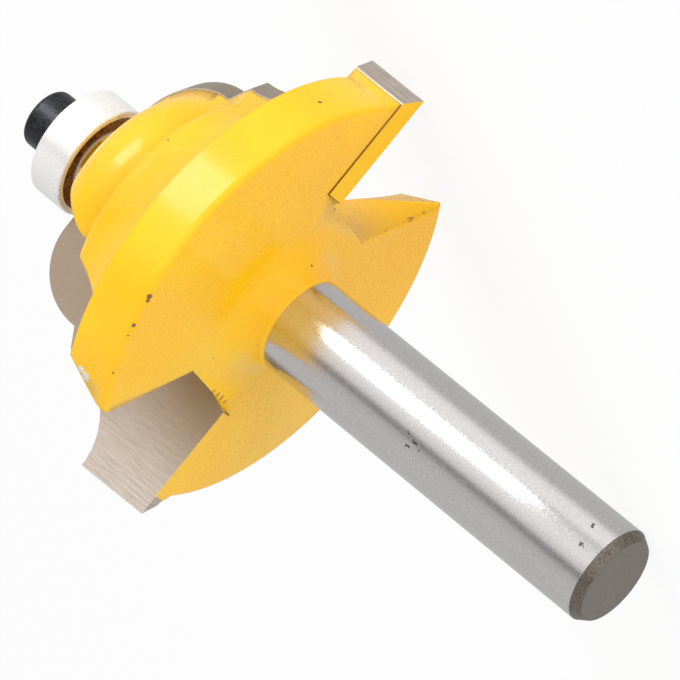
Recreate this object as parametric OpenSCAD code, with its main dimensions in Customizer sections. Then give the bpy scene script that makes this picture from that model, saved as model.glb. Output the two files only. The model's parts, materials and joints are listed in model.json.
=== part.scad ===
// Router bit with two carbide tips: bead and cove profile, round shank and a
// guide bearing held on the nose by a socket screw.
// It is drawn about its own axis, Z towards the shank end and zero where the
// paint stops on the shank, and is then laid down the way it comes to rest.

/* [Shank] */
// Diameter of the ground shank
shank_d = 8; // [7:0.05:9]
// Bare length of the shank, from the paint line to its end
shank_l = 32.6; // [26:0.2:40]
// Axial length of the turned chamfer at the shank end
chamfer_l = 0.8; // [0.3:0.1:1.4]
// Radial width of the same chamfer
chamfer_w = 0.5; // [0.2:0.1:1]

/* [Cutting profile] */
// Cutting diameter, over both carbide tips
cut_d = 38.1; // [36.5:0.1:39.5]
// Cutting height, from the back corner of a tip to the bottom of its bead
cut_h = 19.05; // [18.6:0.05:19.6]
// Radius of the convex bead
bead_r = 5.55; // [5.2:0.05:5.8]
// Distance of the bead's centre from the axis
bead_x = 5.54; // [5.2:0.02:5.8]
// Radius of the concave cove
cove_r = 6.35; // [6:0.05:6.6]
// Height of the sloping step between the bead and the cove
step_h = 0.85; // [0.4:0.05:1.1]

/* [Painted head] */
// How far the band of the painted head stays inside the cutting diameter
relief = 1.3; // [1:0.05:1.5]
// How far its bead and cove stay inside the cutting profile
profile_relief = 1.7; // [1.5:0.05:1.8]
// Rounding of the ridge between its bead and its cove
ridge_round = 0.9; // [0.4:0.1:1]
// Depth of the flat back face below the paint line
back_z = 2.66; // [2.2:0.02:3]
// Rounding of the rim of the back face
rim_round = 0.5; // [0.2:0.05:0.8]
// Thickness of the paint where it ends on the shank
paint_t = 0.04; // [0.02:0.01:0.08]

/* [Carbide tips] */
// Thickness of a tip
tip_t = 1.8; // [1.4:0.1:2.2]
// Shear angle of a tip against the axis
shear = 9.4; // [7:0.2:11]
// Distance of the face of a tip from the axis, along its own normal
tip_set = 3.65; // [3.3:0.05:3.9]
// Inward slant of the ground flank, per millimetre of thickness
flank_in = 0.66; // [0.45:0.01:0.75]
// Upward slant of the ground flank, per millimetre of thickness
flank_up = 0.3; // [0.15:0.01:0.45]
// Inward slant of the painted pad behind a tip, per millimetre
pad_in = 0.7; // [0.64:0.01:0.78]
// Upward slant of the same pad, per millimetre
pad_up = 0.7; // [0.5:0.02:0.9]
// Distance from the axis of the flat that blends the pad into the band
pad_flat = 15.3; // [15:0.05:15.4]
// Thickness of the braze between a tip and its seat
braze_t = 0.08; // [0.05:0.01:0.12]

/* [Gullets] */
// Distance of the gullet floor from the axis, at the back face
floor_x = 8.1; // [7.6:0.1:8.6]
// Slope of the gullet floor towards the nose
floor_tilt = 19; // [16:0.5:20]
// Turn of the gullet floor in plan
floor_turn = 5.6; // [3:0.2:8]
// Direction of the wing's end wall in plan
wall_dir = -46.3; // [-52:0.1:-40]
// Slope of the wing's end wall against the axis
wall_tilt = 20.8; // [18:0.1:23]
// Distance of the end wall from the origin
wall_set = 3.5; // [3:0.05:4]
// Distance of the cut-off front corner of wing 1 from the origin
corner_1 = 6.55; // [6.4:0.05:7]
// The same for wing 2, which has lost more of its corner
corner_2 = 10.05; // [9.9:0.05:10.6]

/* [Guide bearing] */
// Outer diameter of the bearing
bearing_d = 9.525; // [9.4:0.005:9.6]
// Bore of the bearing
bearing_bore = 4.7625; // [4.7:0.0025:4.8]
// Width of the bearing
bearing_w = 3.175; // [3:0.025:3.3]
// Diameter of a ball
ball_d = 1.588; // [1.5:0.002:1.6]
// Number of balls
ball_count = 8; // [7:1:8]
// Distance from the bottom of the bead to the bearing
nose_gap = 0.75; // [0.6:0.05:1]

/* [Cap screw] */
// Diameter of the screw head
head_d = 5; // [4.7:0.1:5.5]
// Height of the screw head
head_h = 3.2; // [2.8:0.1:3.6]
// Width across flats of the hexagon socket
socket_af = 2.5; // [2:0.1:2.6]
// Diameter of the thread
thread_d = 3; // [2.5:0.1:3]
// Length of the threaded part
thread_l = 8; // [6:0.5:9]
// Thickness of the washer under the head
washer_t = 0.3; // [0.2:0.05:0.4]

/* [Hidden] */
$fn = 96;
far = 60;
shank_r = shank_d / 2;
cut_r = cut_d / 2;

// Heights along the axis, measured from the paint line
tip_top = -back_z + 0.41;
cut_bottom = tip_top - cut_h;
bead_z = cut_bottom + bead_r;
cove_x = cut_r + 0.05;
cove_z = bead_z + 1.07;
ridge = [cove_x - cove_r - 0.25, bead_z + step_h];
bearing_top = cut_bottom - nose_gap;
bearing_bottom = bearing_top - bearing_w;
bearing_mid = (bearing_top + bearing_bottom) / 2;
washer_bottom = bearing_bottom - washer_t;
screw_bottom = washer_bottom - head_h;

// Painted head
rim_r = cut_r - relief;
bead_in = bead_r - profile_relief + 0.05;
cove_out = cove_r + profile_relief - 0.41;
cove_in = [cove_x - 0.55, bead_z + 1.28];
nose_z = bead_z + 0.12 - bead_in;
bead_c = [bead_x + 0.2, bead_z + 0.12];
quirk_in = [bead_c[0] + 0.97 * bead_in, bead_c[1] + 0.98];
// centre of the rounded ridge, which meets the cove and the step without a corner
ridge_turn = asin((1.05 + ridge_round * 0.3) / (cove_out + ridge_round));
ridge_c = cove_in + (cove_out + ridge_round - 0.02) * [-cos(ridge_turn), sin(ridge_turn)];
core_r = bearing_bore / 2 - 0.005;
collar_r = core_r + 0.63;
hub_r = back_z;

// Direction in which the step between bead and ridge touches the rounded ridge
step_v = quirk_in - ridge_c;
step_turn = -atan2(step_v[1], step_v[0]) - acos(ridge_round / norm(step_v));

// Bearing
pitch_r = (bearing_d + bearing_bore) / 4;
groove_r = ball_d / 2 + 0.026;
land_out = pitch_r + 0.53;
land_in = pitch_r - 0.53;
shield_t = 0.14;
shield_lap = 0.16;
shield_seat = bearing_w / 2 - 2 * shield_t;

// Resting pose: shank end, outer corner of tip 2 and heel of wing 1 touch the ground. A corner is
// given as radius, height and direction
corner_y = (tip_set + tip_top * sin(shear)) / cos(shear);
toe = [cut_r, tip_top, asin(corner_y / cut_r)];
heel = [rim_r - 0.03, -back_z - 0.33, -37.8];
function rest_height(t) = shank_r * cos(t) + (shank_l - chamfer_l) * sin(t);
function turn_to(p, t) = acos(min(1, (rest_height(t) - p[1] * sin(t)) / (p[0] * cos(t))));
function rest_angle(low, high, n) =
    let (t = (low + high) / 2)
    n == 0 ? t
    : turn_to(toe, t) + turn_to(heel, t) < toe[2] - heel[2] ? rest_angle(low, t, n - 1)
    : rest_angle(t, high, n - 1);
rest_tilt = rest_angle(10, 24, 24);
rest_h = rest_height(rest_tilt);
rest_roll = toe[2] - turn_to(toe, rest_tilt);
rest_front = (screw_bottom + 0.4) * cos(rest_tilt) - (head_d / 2 - 0.4) * sin(rest_tilt) - 0.4;
rest_back = shank_l * cos(rest_tilt) + (shank_r - chamfer_w) * sin(rest_tilt);
rest_x = -(rest_front + rest_back) / 2;

steel = [0.70, 0.70, 0.71];
paint = [0.98, 0.78, 0.16];
carbide = [0.55, 0.52, 0.49];
brass = [0.80, 0.68, 0.42];
black_oxide = [0.10, 0.10, 0.11];

// Lays the bit on the ground: lowest points at zero, middle of its box at the origin
module lay() {
    translate([rest_x, 0, rest_h])
        rotate([0, 90 + rest_tilt, 0])
            rotate([0, 0, -rest_roll])
                children();
}

// Frame of tip i: X outwards, Y back from its face, Z up along the face
module tip_frame(i) {
    rotate([0, 0, 180 * i])
        rotate([-shear, 0, 0])
            translate([0, tip_set, 0])
                children();
}

function arc(c, r, a0, a1, n) =
    [for (k = [0:n]) let (a = a0 + (a1 - a0) * k / n) [c[0] + r * cos(a), c[1] + r * sin(a)]];

// Radius and height of the cutting edge, from the nose to above the back corner
cut_profile = concat(
    [[0.5, cut_bottom]],
    arc([bead_x, bead_z], bead_r, -90, 0, 16),
    [ridge],
    arc([cove_x, cove_z], cove_r, 180, 91, 16),
    [[cut_r, tip_top + 3], [0.5, tip_top + 3]]);

// The same edge seen on the face of a tip, which is set off from the axis
function on_face(p) =
    let (w = (p[1] + tip_set * sin(shear)) / cos(shear),
         y = w * sin(shear) + tip_set * cos(shear))
    [sqrt(max(pow(p[0], 2) - pow(y, 2), 0.01)), w];

function back_w() = on_face([cut_r, tip_top])[1];

// Long prism with the edge profile, running back from the face with the given
// inward and upward slants; at depth s it lies inset inside the ground flank
module profile_prism(in, up, inset, s) {
    turn = atan(in);
    lean = -atan2(sqrt(1 + pow(in, 2)), up);
    rotate([lean, 0, turn])
        translate([0, 0, -far / 2])
            linear_extrude(far)
                polygon([for (p = cut_profile)
                    let (q = on_face(p),
                         u = q[0] - inset + (in - flank_in) * s,
                         w = q[1] + inset - (up - flank_up) * s)
                    [u * cos(turn), w * sin(lean) - u * sin(turn) * cos(lean)]]);
}

module flank_prism(inset) {
    profile_prism(flank_in, flank_up, inset, 0);
}

// Plate between two depths behind the face, grown by g on its inner side
module tip_plate(s0, s1, g) {
    top = back_w();
    low = cut_bottom - 4;
    translate([0, s1, 0])
        rotate([90, 0, 0])
            linear_extrude(s1 - s0)
                polygon([[floor_x + 0.8 - g, top], [cut_r + 4, top], [cut_r + 4, low],
                         [floor_x - 0.2 - 0.22 * (top - 2.9 - low) - g, low],
                         [floor_x - 0.2 - g, top - 2.9]]);
}

module carbide_tip(i) {
    color(carbide)
        tip_frame(i)
            intersection() {
                flank_prism(0);
                tip_plate(0, tip_t, 0);
            }
}

module braze_seam(i) {
    color(brass)
        tip_frame(i)
            intersection() {
                flank_prism(0.12);
                difference() {
                    tip_plate(0, tip_t + braze_t, braze_t);
                    tip_plate(-1, tip_t, 0);
                }
                translate([-far / 2, -far / 2, -far + back_w() - 0.3])
                    cube([far, far, far]);
            }
}

module head_outline() {
    difference() {
        union() {
            polygon([[0, -back_z], [rim_r - rim_round, -back_z], [rim_r, -back_z - rim_round],
                     [rim_r, cove_in[1] + sqrt(pow(cove_out, 2) - pow(cove_in[0] - rim_r, 2))],
                     ridge_c + ridge_round * [cos(ridge_turn), -sin(ridge_turn)],
                     ridge_c + ridge_round * [cos(step_turn), -sin(step_turn)],
                     quirk_in, bead_c, [bead_c[0], nose_z], [0, nose_z]]);
            translate(ridge_c)
                circle(ridge_round, $fn = 28);
            translate([rim_r - rim_round, -back_z - rim_round])
                circle(rim_round, $fn = 32);
            intersection() {
                translate(bead_c)
                    circle(bead_in, $fn = 60);
                translate([bead_c[0] - 1, nose_z - 1])
                    square([bead_in + 2, bead_in + 1 + quirk_in[1] - bead_c[1]]);
            }
            // hub with its fillet into the shank
            difference() {
                translate([0, -back_z - 1])
                    square([shank_r + paint_t + hub_r, back_z + 1]);
                translate([shank_r + paint_t + hub_r, 0])
                    circle(hub_r, $fn = 48);
            }
        }
        translate(cove_in)
            circle(cove_out, $fn = 64);
    }
}

// Block in front of a tip, down to the floor and out to the end wall of the other
// wing, whose front corner is cut off: cut holds turn, lean and distance of that flat
module gullet(cut) {
    intersection() {
        rotate([-shear, 0, 0])
            translate([-far / 2, tip_set - far, -far / 2])
                cube(far);
        translate([floor_x, 0, -back_z])
            rotate([0, 0, -floor_turn])
                rotate([0, floor_tilt, 0])
                    translate([0, -far / 2, -far / 2])
                        cube(far);
        union() {
            rotate([0, 0, wall_dir])
                rotate([-wall_tilt, 0, 0])
                    translate([-far / 2, wall_set, -far / 2])
                        cube(far);
            rotate([0, 0, wall_dir + cut[0]])
                rotate([0, cut[1], 0])
                    translate([cut[2], -far / 2, -far / 2])
                        cube(far);
        }
    }
}

module cutter_body() {
    color(paint)
        difference() {
            union() {
                difference() {
                    union() {
                        rotate_extrude()
                            head_outline();
                        for (i = [1, 2])
                            intersection() {
                                tip_frame(i)
                                    intersection() {
                                        profile_prism(pad_in, pad_up, 0.06, tip_t);
                                        tip_plate(tip_t / 2, tip_t + 6, 1);
                                    }
                                rotate([0, 0, 180 * i + 46.4])
                                    rotate([0, -7.5, 0])
                                        translate([pad_flat - far, -far / 2, -far / 2])
                                            cube(far);
                                rotate([0, 0, 180 * i + 31])
                                    translate([-far / 2, -far, -far / 2])
                                        cube(far);
                            }
                    }
                    // flat back of the pads
                    translate([0, 0, -back_z])
                        difference() {
                            cylinder(r = cut_r + 2, h = 5);
                            translate([0, 0, -1])
                                cylinder(r = shank_r + paint_t + hub_r + 0.4, h = 7);
                        }
                    for (i = [0, 1])
                        rotate([0, 0, 180 * i])
                            gullet([[79.3, 26.3, corner_1], [64.9, 32.4, corner_2]][i]);
                    for (i = [1, 2])
                        tip_frame(i)
                            tip_plate(-1, tip_t + braze_t, braze_t);
                }
                // stud core, collar and shank
                translate([0, 0, bearing_bottom + 0.07])
                    cylinder(r = core_r, h = 9);
                difference() {
                    translate([0, 0, bearing_top])
                        cylinder(r = collar_r, h = nose_z - bearing_top + 0.5);
                    for (i = [0, 1])
                        rotate([0, 0, 180 * i])
                            translate([1.3, -far + 2.75, bearing_top - 1])
                                cube([far, far, 3]);
                }
                translate([0, 0, -back_z])
                    cylinder(r = shank_r, h = shank_l + back_z - chamfer_l);
                translate([0, 0, shank_l - chamfer_l])
                    cylinder(r1 = shank_r, r2 = shank_r - chamfer_w, h = chamfer_l);
            }
            // threaded hole in the nose
            translate([0, 0, bearing_bottom - 1])
                cylinder(d = thread_d + 0.04, h = thread_l + 2);
        }
}

module outer_ring() {
    color(steel)
        translate([0, 0, bearing_mid])
            rotate_extrude()
                difference() {
                    translate([land_out, -bearing_w / 2])
                        square([bearing_d / 2 - land_out, bearing_w]);
                    translate([pitch_r, 0])
                        circle(groove_r);
                    for (s = [-1, 1]) {
                        // seat of the shield
                        translate([land_out - 1, s * (shield_seat + 1) - 1])
                            square([1 + shield_lap, 2]);
                        // broken outer corner
                        translate([bearing_d / 2, s * bearing_w / 2])
                            rotate(45)
                                square(0.14, center = true);
                    }
                }
}

module inner_ring() {
    color(steel)
        translate([0, 0, bearing_mid])
            rotate_extrude()
                difference() {
                    translate([bearing_bore / 2, -bearing_w / 2])
                        square([land_in - bearing_bore / 2, bearing_w]);
                    translate([pitch_r, 0])
                        circle(groove_r);
                    for (s = [-1, 1])
                        translate([bearing_bore / 2, s * bearing_w / 2])
                            rotate(45)
                                square(0.12, center = true);
                }
}

// Shield s: +1 on the side of the head, -1 on the side of the screw
module shield(s) {
    color(steel)
        translate([0, 0, bearing_mid + s * (shield_seat + shield_t / 2)])
            difference() {
                cylinder(r = land_out + shield_lap, h = shield_t, center = true);
                cylinder(r = land_in + 0.07, h = 1, center = true);
            }
}

module ball_cage() {
    color(brass)
        translate([0, 0, bearing_mid])
            difference() {
                translate([0, 0, -0.98])
                    cylinder(r = pitch_r + 0.36, h = 1.3);
                translate([0, 0, -2])
                    cylinder(r = pitch_r - 0.36, h = 4);
                for (i = [1:ball_count])
                    rotate([0, 0, 360 / ball_count * i])
                        translate([pitch_r, 0, 0])
                            sphere(r = groove_r, $fn = 48);
            }
}

module ball(i) {
    color(steel)
        rotate([0, 0, 360 / ball_count * i])
            translate([pitch_r, 0, bearing_mid])
                sphere(d = ball_d, $fn = 48);
}

module washer() {
    color(steel)
        translate([0, 0, washer_bottom])
            difference() {
                cylinder(r = land_in - 0.05, h = washer_t);
                translate([0, 0, -1])
                    cylinder(d = thread_d + 0.2, h = 3);
            }
}

module cap_screw() {
    edge = 0.4;
    color(black_oxide)
        difference() {
            union() {
                translate([0, 0, screw_bottom])
                    rotate_extrude() {
                        translate([0, edge])
                            square([head_d / 2, head_h - edge]);
                        square([head_d / 2 - edge, head_h]);
                        translate([head_d / 2 - edge, edge])
                            circle(edge);
                    }
                translate([0, 0, washer_bottom - 0.5])
                    cylinder(d = thread_d, h = thread_l + 0.5);
            }
            translate([0, 0, screw_bottom - 1])
                cylinder(d = socket_af / cos(30), h = 1 + head_h / 2, $fn = 6);
        }
}

lay() cutter_body();
for (i = [1, 2]) {
    lay() carbide_tip(i);
    lay() braze_seam(i);
}
lay() outer_ring();
lay() inner_ring();
lay() shield(1);  // shield_body_side
lay() shield(-1);  // shield_screw_side
lay() ball_cage();
for (i = [1:ball_count])
    lay() ball(i);
lay() washer();
lay() cap_screw();
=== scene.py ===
"""Looks of the router bit: painted head, ground steel shank, carbide tips, bearing and screw."""
import json
import math

import bmesh
import bpy
from mathutils import Matrix, Vector


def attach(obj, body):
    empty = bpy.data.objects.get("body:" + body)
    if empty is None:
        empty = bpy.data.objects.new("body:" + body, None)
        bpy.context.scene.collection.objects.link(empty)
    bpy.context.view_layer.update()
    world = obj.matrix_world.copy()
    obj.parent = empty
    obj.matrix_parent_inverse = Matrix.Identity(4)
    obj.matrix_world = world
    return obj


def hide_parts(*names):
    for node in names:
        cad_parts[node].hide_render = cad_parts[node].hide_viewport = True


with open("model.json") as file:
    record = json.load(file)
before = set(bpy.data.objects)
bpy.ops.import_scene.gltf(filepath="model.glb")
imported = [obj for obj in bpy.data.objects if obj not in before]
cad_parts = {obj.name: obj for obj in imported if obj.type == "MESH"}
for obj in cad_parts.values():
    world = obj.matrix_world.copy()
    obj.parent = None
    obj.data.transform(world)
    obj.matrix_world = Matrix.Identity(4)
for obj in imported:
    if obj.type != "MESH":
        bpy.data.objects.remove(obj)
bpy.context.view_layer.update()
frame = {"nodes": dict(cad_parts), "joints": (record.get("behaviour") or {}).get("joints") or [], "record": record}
record = frame["record"]
scene = bpy.context.scene
MM = 0.001


# The tool's own frame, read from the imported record: Z along the axis towards the shank end,
# zero where the paint stops on the shank, X through the middle of the last ball.
def tool_frame():
    shank_mount = next(m for m in record["mounts"] if m["name"] == "shank")
    joints = {j["name"]: j for j in frame["joints"]}
    z = Vector(shank_mount["axis"]).normalized()
    origin = Vector(shank_mount["pos_m"]) - z * shank_mount["dims"]["length_mm"] * MM / 2
    centre = Vector(joints["outer_ring_spin"]["pos_m"])
    x = Vector(joints["ball_8_spin"]["pos_m"]) - centre
    x = (x - z * x.dot(z)).normalized()
    y = z.cross(x)
    return Matrix((x, y, z)).transposed().to_4x4(), origin


TURN, ORIGIN = tool_frame()
TOOL = Matrix.Translation(ORIGIN) @ TURN


def at(x, y, z):
    """A point given in the tool's frame in millimetres, as a point of the row frame in metres."""
    return TOOL @ Vector((x * MM, y * MM, z * MM))


def along(x, y, z):
    """A direction given in the tool's frame."""
    return (TURN @ Vector((x, y, z, 0))).xyz.normalized()


# Camera, in the tool's frame
CAMERA_AT = (2.755, 339.15, 170.83)
CAMERA_RIGHT = (0.62960, -0.34696, 0.69514)
CAMERA_UP = (0.77691, 0.27575, -0.56602)
LENS_MM = 268.3
SENSOR_MM = 36
NEAR_CLIP, FAR_CLIP = 0.01, 10
RIGHT, UP = along(*CAMERA_RIGHT), along(*CAMERA_UP)
BACK = RIGHT.cross(UP)
AXIS = along(0, 0, 1)


def add_camera():
    data = bpy.data.cameras.new("camera")
    data.lens = LENS_MM
    data.sensor_width = SENSOR_MM
    data.clip_start = NEAR_CLIP
    data.clip_end = FAR_CLIP
    cam = bpy.data.objects.new("camera", data)
    turn = Matrix((RIGHT, UP, BACK)).transposed().to_4x4()
    cam.matrix_world = Matrix.Translation(at(*CAMERA_AT)) @ turn
    scene.collection.objects.link(cam)
    scene.camera = cam


# Numbers of the colour mixer's factor and colour inputs, and of its colour output
MIX_FACTOR, MIX_A, MIX_B, MIX_OUT = 0, 6, 7, 2
NUMBER_RESULTS = ("LENGTH", "DISTANCE", "DOT_PRODUCT")


class Nodes:
    """Short calls for building one material's node tree."""

    def __init__(self, name):
        self.mat = bpy.data.materials.new(name)
        self.mat.use_nodes = True
        self.tree = self.mat.node_tree
        self.bsdf = self.tree.nodes["Principled BSDF"]

    def add(self, kind, **props):
        node = self.tree.nodes.new(kind)
        for key, value in props.items():
            setattr(node, key, value)
        return node

    def put(self, socket, value):
        if isinstance(value, bpy.types.NodeSocket):
            self.tree.links.new(value, socket)
        else:
            socket.default_value = value

    def math(self, op, a, b):
        node = self.add("ShaderNodeMath", operation=op)
        self.put(node.inputs[0], a)
        self.put(node.inputs[1], b)
        return node.outputs[0]

    def vec(self, op, a, b):
        node = self.add("ShaderNodeVectorMath", operation=op)
        self.put(node.inputs[0], a)
        self.put(node.inputs[1], b)
        return node.outputs["Value" if op in NUMBER_RESULTS else "Vector"]

    def scaled(self, a, factor):
        node = self.add("ShaderNodeVectorMath", operation="SCALE")
        self.put(node.inputs[0], a)
        node.inputs["Scale"].default_value = factor
        return node.outputs["Vector"]

    def ramp(self, value, low, high, start=0.0, end=1.0):
        """start below low, end above high, smooth between."""
        node = self.add("ShaderNodeMapRange", interpolation_type="SMOOTHSTEP")
        self.put(node.inputs["Value"], value)
        names = ("From Min", "From Max", "To Min", "To Max")
        for name, number in zip(names, (low, high, start, end)):
            node.inputs[name].default_value = number
        return node.outputs[0]

    def mix(self, factor, a, b):
        node = self.add("ShaderNodeMix", data_type="RGBA")
        for number, value in ((MIX_FACTOR, factor), (MIX_A, a), (MIX_B, b)):
            self.put(node.inputs[number], value)
        return node.outputs[MIX_OUT]

    def noise(self, coords, scale, detail=2.0, rough=0.5, what="Fac"):
        node = self.add("ShaderNodeTexNoise")
        self.put(node.inputs["Vector"], coords)
        node.inputs["Scale"].default_value = scale
        node.inputs["Detail"].default_value = detail
        node.inputs["Roughness"].default_value = rough
        return node.outputs[what]

    def bump(self, height, strength, distance, normal=None):
        node = self.add("ShaderNodeBump")
        node.inputs["Strength"].default_value = strength
        node.inputs["Distance"].default_value = distance
        self.put(node.inputs["Height"], height)
        if normal is not None:
            self.put(node.inputs["Normal"], normal)
        return node.outputs[0]

    def join(self, x, y, z):
        node = self.add("ShaderNodeCombineXYZ")
        for socket, part in zip(node.inputs, (x, y, z)):
            self.put(socket, part)
        return node.outputs[0]

    def tool_coords(self):
        """Object coordinates turned into the tool's frame, in millimetres, whole and split."""
        coords = self.add("ShaderNodeTexCoord").outputs["Object"]
        moved = self.vec("SUBTRACT", coords, tuple(ORIGIN))
        parts = []
        for axis in range(3):
            along_axis = self.vec("DOT_PRODUCT", moved, tuple(TURN.col[axis].xyz))
            parts.append(self.math("MULTIPLY", along_axis, 1 / MM))
        return self.join(*parts), parts

    def spots(self, coords, marks, wobble):
        """1 inside any of the marks, each a point and a radius, with ragged edges."""
        ragged = self.noise(coords, 2.6, 3.0, what="Color")
        shift = self.scaled(self.vec("SUBTRACT", ragged, (0.5,) * 3), wobble)
        place = self.vec("ADD", coords, shift)
        total = 0.0
        for point, radius in marks:
            far = self.vec("DISTANCE", place, point)
            mark = self.ramp(far, radius * 0.7, radius * 1.1, 1.0, 0.0)
            total = self.math("MAXIMUM", total, mark)
        return total

    def set(self, **values):
        for key, value in values.items():
            self.put(self.bsdf.inputs[key.replace("_", " ")], value)


def rgb(r, g, b):
    """A colour written as display values from 0 to 255."""
    def linear(c):
        c /= 255
        return c / 12.92 if c <= 0.04045 else ((c + 0.055) / 1.055) ** 2.4
    return (linear(r), linear(g), linear(b), 1)


def give(node, mat):
    mesh = frame["nodes"][node].data
    mesh.materials.clear()
    mesh.materials.append(mat)


# Places of the marks in the paint, in the tool's frame, with their radii in millimetres
CHIPS = [((-5.2, 16.66, -2.7), 0.26), ((-5.5, 16.5, -2.68), 0.16), ((-7.54, 15.75, -2.7), 0.17),
         ((-8.36, 15.43, -2.77), 0.08), ((-11.25, 13.5, -2.79), 0.1),
         ((13.64, 11.34, -4.76), 0.17), ((8.34, 2.76, -2.66), 0.13), ((-6.1, 2.82, -2.66), 0.09),
         ((-3.16, 2.62, -0.57), 0.07), ((3.95, 2.13, -1.47), 0.12), ((4.48, 10.03, -13.39), 0.1)]
BARE = [((-12.77, 12.32, -5.0), 0.42), ((-12.6, 12.5, -5.6), 0.3)]
STAINS = [((-7.95, -0.6, -2.66), 0.2), ((-8.05, -1.5, -2.66), 0.24), ((-8.12, -2.3, -2.66), 0.26),
          ((-8.2, -3.1, -2.66), 0.22), ((11.57, -8.24, -2.75), 0.3), ((9.6, -6.2, -2.66), 0.14),
          ((12.6, -9.3, -2.75), 0.16), ((7.7, -4.4, -2.66), 0.13)]
SCRATCHES = [((-1.38, 3.75, 15.04), 0.22), ((-1.9, 3.52, 14.6), 0.16), ((-1.1, 3.84, 14.2), 0.14),
             ((-1.6, 3.66, 15.6), 0.12), ((2.1, 3.4, 29.9), 0.22), ((0.6, 3.95, 30.4), 0.2)]
CHIP_WOBBLE, WEAR_WOBBLE, SCRATCH_WOBBLE = 0.3, 0.5, 0.9

# Sizes in millimetres
SHANK_R, SHANK_L = 4.0, 32.6
CHAMFER_W, CHAMFER_L = 0.5, 0.8
PAINT_EDGE = 0.02
EDGE_R = 0.28
SHEAR = math.radians(9.4)
# Heights in a tip's sheared frame between which its painted end starts, and the distances from
# the axis between which the end of tip 1 turns bare
TIP_PAINT = (-1.72, -1.69)
TIP_1_BARE = (16.9, 17.2)
PAINT = rgb(253, 198, 7)


def paint():
    """Glossy yellow paint with chips, stains and worn spots."""
    n = Nodes("painted_body")
    p, _ = n.tool_coords()
    cloud = n.noise(p, 0.12, 2.0)
    base = n.mix(n.ramp(cloud, 0.35, 0.7), rgb(252, 193, 5), rgb(254, 202, 10))
    thin = n.ramp(n.noise(p, 1.7, 4.0), 0.62, 0.78, 0.0, 0.1)
    base = n.mix(thin, base, rgb(244, 184, 10))
    base = n.mix(n.spots(p, STAINS, WEAR_WOBBLE), base, rgb(196, 140, 34))
    base = n.mix(n.spots(p, BARE, WEAR_WOBBLE), base, rgb(236, 232, 214))
    chips = n.spots(p, CHIPS, CHIP_WOBBLE)
    base = n.mix(chips, base, rgb(122, 88, 62))
    peel = n.noise(p, 0.55, 1.0)
    dust = n.noise(p, 5.0, 2.0)
    soft = n.add("ShaderNodeBevel", samples=8)
    soft.inputs["Radius"].default_value = EDGE_R * MM
    normal = n.bump(peel, 0.22, 0.00012, soft.outputs[0])
    normal = n.bump(dust, 0.05, 0.00001, normal)
    normal = n.bump(chips, 0.8, -0.00005, normal)
    n.set(Base_Color=base, Roughness=n.ramp(dust, 0.3, 0.75, 0.24, 0.38), Normal=normal)
    n.set(Coat_Weight=0.3, Coat_Roughness=0.09, Specular_IOR_Level=0.35)
    return n.mat


def steel():
    """Ground steel, with a darker turned chamfer and end face."""
    n = Nodes("shank_steel")
    p, (x, y, z) = n.tool_coords()
    squeezed = [n.math("MULTIPLY", x, 0.9), n.math("MULTIPLY", y, 0.9), n.math("MULTIPLY", z, 9.0)]
    round_lines = n.noise(n.join(*squeezed), 1.0, 4.0)
    grain = n.noise(p, 7.0, 5.0, 0.7)
    chamfer = n.ramp(z, 31.78, 31.84)
    end = n.ramp(z, 32.56, 32.6)

    def grained(dark, light, low=0.3, high=0.7):
        return n.mix(n.ramp(grain, low, high), dark, light)

    base = grained(rgb(206, 202, 200), rgb(226, 223, 221), 0.35, 0.75)
    base = n.mix(n.spots(p, SCRATCHES, SCRATCH_WOBBLE), base, rgb(110, 104, 98))
    base = n.mix(chamfer, base, grained(rgb(96, 88, 80), rgb(150, 142, 132)))
    base = n.mix(end, base, grained(rgb(132, 124, 116), rgb(158, 150, 142)))
    polish = n.ramp(grain, 0.3, 0.8, 0.13, 0.26)
    rough = n.math("ADD", polish, n.math("MULTIPLY", chamfer, 0.22))
    normal = n.bump(round_lines, 0.3, 0.00001)
    normal = n.bump(grain, 0.22, 0.00001, normal)
    n.set(Base_Color=base, Metallic=1.0, Roughness=rough, Normal=normal)
    return n.mat


def carbide(tip):
    """Ground carbide with a painted end. Tip 1's own frame is turned half way round."""
    n = Nodes(f"carbide_{tip}")
    side = 1 if tip == 2 else -1
    p, (x, y, z) = n.tool_coords()
    out = n.math("MULTIPLY", x, side)
    up = n.math("ADD", n.math("MULTIPLY", z, math.cos(SHEAR)),
                n.math("MULTIPLY", y, side * math.sin(SHEAR)))
    warp = n.noise(p, 0.8, 2.0)
    across = n.math("ADD", n.math("MULTIPLY", out, 5.0), n.math("MULTIPLY", warp, 1.2))
    lines = n.noise(n.join(across, 0.0, n.math("MULTIPLY", up, 0.4)), 1.0, 5.0, 0.7)
    pits = n.noise(p, 4.0, 4.0, 0.6)
    # Painted reflection: the ground face is made lighter towards its outer edge and darker towards the axis,
    # standing in for the surroundings it reflects.
    base = n.mix(n.ramp(out, 9.0, 18.5), rgb(160, 144, 126), rgb(206, 194, 182))
    base = n.mix(n.ramp(lines, 0.35, 0.7, 0.0, 0.5), base, rgb(150, 136, 122))
    base = n.mix(n.ramp(pits, 0.66, 0.74, 0.0, 0.55), base, rgb(112, 102, 92))
    painted = n.ramp(up, *TIP_PAINT)
    if tip == 1:
        painted = n.math("MULTIPLY", painted, n.ramp(out, *TIP_1_BARE, 1.0, 0.0))
    base = n.mix(painted, base, PAINT)
    metallic = n.math("SUBTRACT", 0.75, n.math("MULTIPLY", painted, 0.75))
    n.set(Base_Color=base, Metallic=metallic, Normal=n.bump(lines, 0.35, 0.00002))
    n.set(Roughness=n.ramp(lines, 0.3, 0.7, 0.32, 0.46))
    return n.mat


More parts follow.
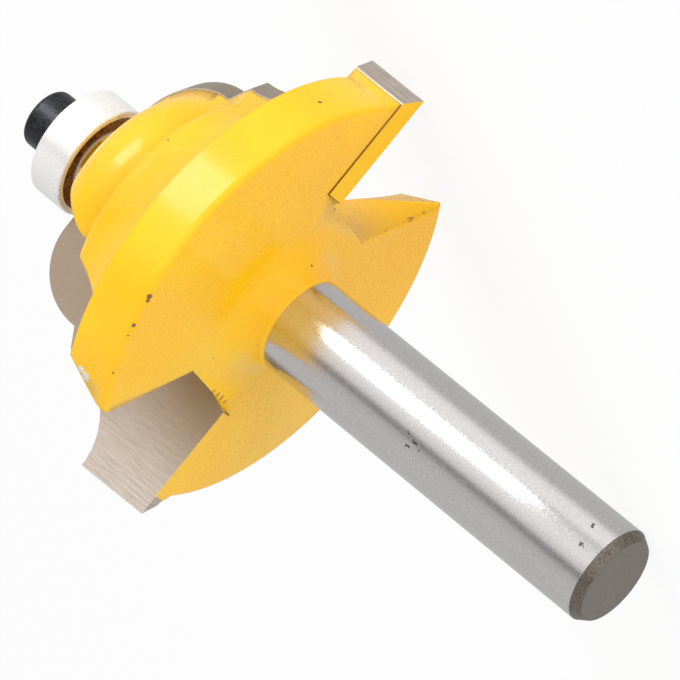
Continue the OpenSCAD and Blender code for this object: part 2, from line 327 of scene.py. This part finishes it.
def metal(name, light, dark, roughness, scale, depth, metallic=1.0, painted_end=False):
    """A metal whose colour, gloss and surface vary with a fine grain, its end towards the shank
    painted over where asked."""
    n = Nodes(name)
    p, _ = n.tool_coords()
    grain = n.noise(p, scale, 4.0, 0.6)
    base = n.mix(n.ramp(grain, 0.3, 0.7), dark, light)
    if painted_end:
        normal = n.add("ShaderNodeNewGeometry").outputs["Normal"]
        facing = n.vec("DOT_PRODUCT", normal, tuple(AXIS))
        base = n.mix(n.ramp(facing, 0.7, 0.8), base, PAINT)
        metallic = n.ramp(facing, 0.7, 0.8, metallic, 0.0)
    n.set(Base_Color=base, Metallic=metallic)
    n.set(Roughness=n.ramp(grain, 0.3, 0.7, roughness * 0.8, roughness * 1.25))
    n.set(Normal=n.bump(grain, 0.25, depth))
    return n.mat


def add_piece(name, mesh, mat, sharp_degrees):
    """A smooth-shaded object with its sharper edges kept."""
    mesh.update()
    mesh.polygons.foreach_set("use_smooth", [True] * len(mesh.polygons))
    mesh.set_sharp_from_angle(angle=math.radians(sharp_degrees))
    mesh.materials.clear()
    mesh.materials.append(mat)
    piece = bpy.data.objects.new(name, mesh)
    scene.collection.objects.link(piece)
    return piece


def make_head(mat):
    """The cutter below the paint line."""
    mesh = frame["nodes"]["cutter_body"].data.copy()
    bm = bmesh.new()
    bm.from_mesh(mesh)
    bmesh.ops.remove_doubles(bm, verts=bm.verts, dist=0.002 * MM)
    cut = bmesh.ops.bisect_plane(bm, geom=bm.verts[:] + bm.edges[:] + bm.faces[:], dist=1e-7,
                                 plane_co=at(0, 0, PAINT_EDGE), plane_no=AXIS, clear_outer=True)
    rim = [e for e in cut["geom_cut"] if isinstance(e, bmesh.types.BMEdge)]
    bmesh.ops.edgeloop_fill(bm, edges=rim)
    bmesh.ops.triangulate(bm, faces=bm.faces[:])
    bm.to_mesh(mesh)
    bm.free()
    return add_piece("head", mesh, mat, 24)


def make_shank(mat):
    """A turned bar with a chamfered end, reaching a little into the head."""
    shoulder, end_r = SHANK_L - CHAMFER_L, SHANK_R - CHAMFER_W
    profile = [(0.0, -0.4), (SHANK_R, -0.4), (SHANK_R, 0.0), (SHANK_R, 8.0), (SHANK_R, 16.0),
               (SHANK_R, 24.0), (SHANK_R, shoulder - 0.04), (SHANK_R - 0.02, shoulder + 0.02),
               (end_r + 0.02, SHANK_L - 0.03), (end_r - 0.03, SHANK_L), (0.0, SHANK_L)]
    steps = 160
    verts, faces, rows = [], [], []
    for r, z in profile:
        count = 1 if r == 0 else steps
        rows.append((len(verts), count))
        for k in range(count):
            a = 2 * math.pi * k / steps
            verts.append(at(r * math.cos(a), r * math.sin(a), z))
    for (low, low_count), (high, high_count) in zip(rows, rows[1:]):
        for k in range(steps):
            j = (k + 1) % steps
            if low_count == 1:
                faces.append((low, high + j, high + k))
            elif high_count == 1:
                faces.append((low + k, low + j, high))
            else:
                faces.append((low + k, low + j, high + j, high + k))
    mesh = bpy.data.meshes.new("shank")
    mesh.from_pydata(verts, [], faces)
    return add_piece("shank", mesh, mat, 25)


def dress():
    """The head and shank in place of the cutter's plain solid, and a finish for each other node."""
    head = make_head(paint())
    shank = make_shank(steel())
    for piece in (head, shank):
        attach(piece, "cutter")
        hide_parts("cutter_body")
    for tip in (1, 2):
        give(f"carbide_tip_{tip}", carbide(tip))
    bearing = metal("bearing_steel", rgb(252, 251, 249), rgb(244, 242, 240), 0.24, 5.0, 0.000004,
                    metallic=0.4)
    # The brown given to the pressed steel is a painted reflection of the yellow head in the shields, cage and
    # washer, not the steel's own colour.
    pressed = metal("pressed_steel", rgb(150, 112, 70), rgb(92, 70, 48), 0.28, 3.0, 0.000006)
    black = metal("black_oxide", rgb(66, 67, 74), rgb(34, 33, 34), 0.34, 6.0, 0.00001,
                  metallic=0.8)
    brass = metal("braze", rgb(214, 168, 74), rgb(150, 112, 58), 0.4, 3.0, 0.00002,
                  painted_end=True)
    balls = [f"ball_{i}" for i in range(1, 9)]
    for mat, nodes in ((bearing, ["outer_ring", "inner_ring"] + balls),
                       (pressed, ["shield_body_side", "shield_screw_side", "ball_cage", "washer"]),
                       (black, ["cap_screw"]),
                       (brass, ["braze_seam_1", "braze_seam_2"])):
        for node in nodes:
            give(node, mat)


def light_path(tree, *names):
    """1 for rays of any of the named kinds."""
    path = tree.nodes.new("ShaderNodeLightPath")
    total = path.outputs[names[0]]
    for name in names[1:]:
        node = tree.nodes.new("ShaderNodeMath")
        node.operation = "MAXIMUM"
        tree.links.new(total, node.inputs[0])
        tree.links.new(path.outputs[name], node.inputs[1])
        total = node.outputs[0]
    return total


def mix_shader(tree, factor, a, b):
    """a where factor, a number or a socket, is 0 and b where it is 1."""
    node = tree.nodes.new("ShaderNodeMixShader")
    if isinstance(factor, float):
        node.inputs[0].default_value = factor
    else:
        tree.links.new(factor, node.inputs[0])
    tree.links.new(a, node.inputs[1])
    tree.links.new(b, node.inputs[2])
    return node.outputs[0]


# Half the floor's side in metres, its colour and how much of the light on it the camera sees
FLOOR_HALF = 3.0
FLOOR_GREY = (0.95, 0.95, 0.95, 1)
FLOOR_SHADOW = 0.12


def add_floor():
    """A white floor that keeps a soft shadow. Reflections see the surroundings through it."""
    mesh = bpy.data.meshes.new("floor")
    s = FLOOR_HALF
    mesh.from_pydata([(-s, -s, 0), (s, -s, 0), (s, s, 0), (-s, s, 0)], [], [(0, 1, 2, 3)])
    floor = bpy.data.objects.new("floor", mesh)
    scene.collection.objects.link(floor)
    mat = bpy.data.materials.new("floor")
    mat.use_nodes = True
    tree = mat.node_tree
    tree.nodes.clear()
    diffuse = tree.nodes.new("ShaderNodeBsdfDiffuse")
    diffuse.inputs["Color"].default_value = FLOOR_GREY
    white = tree.nodes.new("ShaderNodeEmission")
    clear = tree.nodes.new("ShaderNodeBsdfTransparent")
    shown = mix_shader(tree, FLOOR_SHADOW, white.outputs[0], diffuse.outputs[0])
    lit = mix_shader(tree, light_path(tree, "Is Camera Ray"), diffuse.outputs[0], shown)
    glossy = light_path(tree, "Is Glossy Ray", "Is Transmission Ray")
    out = tree.nodes.new("ShaderNodeOutputMaterial")
    tree.links.new(mix_shader(tree, glossy, lit, clear.outputs[0]), out.inputs["Surface"])
    mesh.materials.append(mat)
    floor.visible_shadow = False


LIGHT_TARGET = (0, 0, -8)


def add_light(name, way, distance, size, level, glossy=True):
    """A softbox in the direction way, given to the camera's right, up and towards it. level is the
    brightness that it gives a white surface facing it, glossy says if reflections show it."""
    data = bpy.data.lights.new(name, "AREA")
    data.shape = "RECTANGLE"
    data.size, data.size_y = size
    data.energy = level * (math.pi * distance) ** 2
    lamp = bpy.data.objects.new(name, data)
    towards = (RIGHT * way[0] + UP * way[1] + BACK * way[2]).normalized()
    lamp.location = at(*LIGHT_TARGET) + towards * distance
    lamp.rotation_euler = towards.to_track_quat("Z", "Y").to_euler()
    lamp.visible_glossy = glossy
    scene.collection.objects.link(lamp)


# Brightness of the surroundings round the tool's axis, as a pair of turn in degrees from the
# camera's side and level; it gives the shank its long bands
ROOM = [(-180, 0.60), (-75, 0.66), (-50, 0.60), (-40, 0.32), (-33, 0.34), (-24, 0.85), (-4, 1.1),
        (18, 1.0), (32, 0.74), (44, 1.15), (68, 1.1), (84, 0.62), (180, 0.6)]
WORLD_LEVEL = 0.86
WHITE = (1, 1, 1, 1)


def add_world():
    """White to the camera, even light for the diffuse surfaces, bands for the reflections."""
    world = bpy.data.worlds.new("studio")
    world.use_nodes = True
    tree = world.node_tree
    tree.nodes.clear()
    way = tree.nodes.new("ShaderNodeTexCoord").outputs["Generated"]

    def dot(axis):
        node = tree.nodes.new("ShaderNodeVectorMath")
        node.operation = "DOT_PRODUCT"
        tree.links.new(way, node.inputs[0])
        node.inputs[1].default_value = tuple(axis)
        return node.outputs["Value"]

    def background(strength):
        node = tree.nodes.new("ShaderNodeBackground")
        node.inputs["Color"].default_value = WHITE
        node.inputs["Strength"].default_value = strength
        return node

    near = (BACK - AXIS * BACK.dot(AXIS)).normalized()
    side = AXIS.cross(near)
    side = side if side.dot(UP) > 0 else -side
    turn = tree.nodes.new("ShaderNodeMath")
    turn.operation = "ARCTAN2"
    tree.links.new(dot(side), turn.inputs[0])
    tree.links.new(dot(near), turn.inputs[1])
    scale = tree.nodes.new("ShaderNodeMapRange")
    scale.inputs["From Min"].default_value = -math.pi
    scale.inputs["From Max"].default_value = math.pi
    tree.links.new(turn.outputs[0], scale.inputs["Value"])
    bands = tree.nodes.new("ShaderNodeValToRGB")
    elements = bands.color_ramp.elements
    while len(elements) < len(ROOM):
        elements.new(0.5)
    top = max(level for _, level in ROOM)
    for element, (degrees, level) in zip(elements, ROOM):
        element.position = (degrees + 180) / 360
        element.color = (level / top,) * 3 + (1,)
    tree.links.new(scale.outputs[0], bands.inputs["Fac"])
    room = background(top)
    tree.links.new(bands.outputs["Color"], room.inputs["Color"])
    soft, white = background(WORLD_LEVEL), background(1.0)
    lit = mix_shader(tree, light_path(tree, "Is Glossy Ray"), soft.outputs[0], room.outputs[0])
    shown = light_path(tree, "Is Camera Ray", "Is Transmission Ray")
    out = tree.nodes.new("ShaderNodeOutputWorld")
    tree.links.new(mix_shader(tree, shown, lit, white.outputs[0]), out.inputs["Surface"])
    scene.world = world


add_camera()
dress()
add_floor()
add_world()
add_light("key", (-0.45, 0.75, 0.45), 0.5, (0.22, 0.22), 0.36)
add_light("fill", (0.55, 0.05, 0.85), 0.6, (0.3, 0.3), 0.26, glossy=False)
scene.view_settings.view_transform = "Standard"
